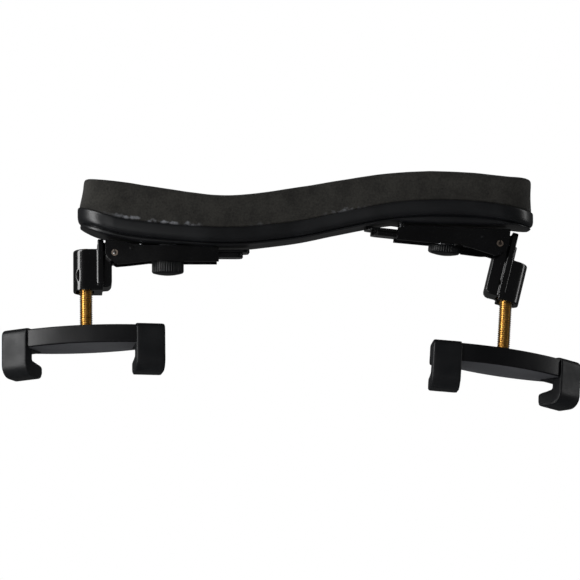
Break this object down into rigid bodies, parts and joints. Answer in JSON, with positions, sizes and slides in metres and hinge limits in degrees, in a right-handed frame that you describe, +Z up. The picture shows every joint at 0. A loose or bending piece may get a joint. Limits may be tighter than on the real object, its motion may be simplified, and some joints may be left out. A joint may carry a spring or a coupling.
{
  "type": "violin shoulder rest",
  "caption": "Collapsible violin shoulder rest: a foam pad on an S-curved shell, with folding legs and height-adjustable forks whose rubber hooks grip the edge of the instrument.",
  "frame": {"origin": "under the middle of the bounding box, level with the lowest fork foot", "axes": "+X along the pad towards its higher end, +Y towards the mouths of the hooks, +Z up from the fork feet to the foam"},
  "size_m": [0.2696, 0.0448, 0.1115],
  "materials": {
    "foam": "matte cellular foam",
    "shell": "satin black moulded plastic",
    "bracket": "glossy black moulded plastic",
    "leg": "glossy black moulded plastic",
    "knob": "satin black moulded plastic",
    "fork": "satin black moulded plastic",
    "foot_rubber": "satin black rubber",
    "brass": "bright machined brass",
    "pin_steel": "bright spring steel with a warm plating",
    "steel": "plain zinc-plated steel"
  },
  "bodies": {
    "body": {"shell": "shell", "foam_pad": "foam", "left_guide_plate": "bracket", "right_guide_plate": "bracket", "guide_screws": "steel"},
    "left_slider": {"left_slider": "bracket", "left_clamp_nut": "steel", "left_washer": "steel", "left_roll_pin": "pin_steel", "left_leaf_spring": "steel"},
    "left_knob": {"left_knob": "knob", "left_knob_stud": "steel"},
    "left_leg": {"left_leg": "leg"},
    "left_nut": {"left_swivel_nut": "brass"},
    "left_screw": {"left_screw": "brass"},
    "left_fork": {"left_fork_bar": "fork", "left_outer_foot": "foot_rubber", "left_inner_foot": "foot_rubber"},
    "right_slider": {"right_slider": "bracket", "right_clamp_nut": "steel", "right_washer": "steel", "right_roll_pin": "pin_steel", "right_leaf_spring": "steel"},
    "right_knob": {"right_knob": "knob", "right_knob_stud": "steel"},
    "right_leg": {"right_leg": "leg"},
    "right_nut": {"right_swivel_nut": "brass"},
    "right_screw": {"right_screw": "brass"},
    "right_fork": {"right_fork_bar": "fork", "right_outer_foot": "foot_rubber", "right_inner_foot": "foot_rubber"}
  },
  "joints": [
    {"name": "left_slider_slide", "type": "slide", "parent": "body", "child": "left_slider", "axis": [-1, 0, 0], "range_m": [-0.004, 0.004]},
    {"name": "left_knob_turn", "type": "hinge", "parent": "left_slider", "child": "left_knob", "pos_m": [-0.05789, 0.00349, 0.06543], "axis": [0, 0.1564, -0.9877], "range_deg": [0, 720]},
    {"name": "left_leg_fold", "type": "hinge", "parent": "left_slider", "child": "left_leg", "pos_m": [-0.08269, 0.00255, 0.07136], "axis": [0, -0.9877, -0.1564], "range_deg": [0, 40]},
    {"name": "left_fork_lean", "type": "hinge", "parent": "left_leg", "child": "left_nut", "pos_m": [-0.09579, 0.00255, 0.06016], "axis": [0, -1, 0], "range_deg": [-12, 3]},
    {"name": "left_fork_height", "type": "slide", "parent": "left_nut", "child": "left_screw", "axis": [0, 0, 1], "range_m": [-0.009, 0.006]},
    {"name": "left_fork_turn", "type": "hinge", "parent": "left_screw", "child": "left_fork", "pos_m": [-0.09579, 0.00255, 0.03536], "axis": [0, 0, 1], "range_deg": [-3236.76, 2157.84]},
    {"name": "right_slider_slide", "type": "slide", "parent": "body", "child": "right_slider", "axis": [0.9945, 0.0164, -0.1032], "range_m": [-0.004, 0.004]},
    {"name": "right_knob_turn", "type": "hinge", "parent": "right_slider", "child": "right_knob", "pos_m": [0.07062, 0.0024, 0.07232], "axis": [-0.1045, 0.1556, -0.9823], "range_deg": [0, 720]},
    {"name": "right_leg_fold", "type": "hinge", "parent": "right_slider", "child": "right_leg", "pos_m": [0.09591, 0.00187, 0.07565], "axis": [0, 0.9877, 0.1564], "range_deg": [-15, 30]},
    {"name": "right_fork_lean", "type": "hinge", "parent": "right_leg", "child": "right_nut", "pos_m": [0.09959, 0.00212, 0.05554], "axis": [-0.0405, 0.9992, 0.0053], "range_deg": [-1.8, 13.2]},
    {"name": "right_fork_height", "type": "slide", "parent": "right_nut", "child": "right_screw", "axis": [0.0805, -0.002, 0.9967], "range_m": [-0.002, 0.007]},
    {"name": "right_fork_turn", "type": "hinge", "parent": "right_screw", "child": "right_fork", "pos_m": [0.09704, 0.00219, 0.02405], "axis": [0.0805, -0.002, 0.9967], "range_deg": [-719.28, 2517.48]}
  ],
  "couplings": [
    {"joint": "left_fork_height", "follows": "left_fork_turn", "m_per_rad": 0.00015915},
    {"joint": "right_fork_height", "follows": "right_fork_turn", "m_per_rad": 0.00015915}
  ]
}
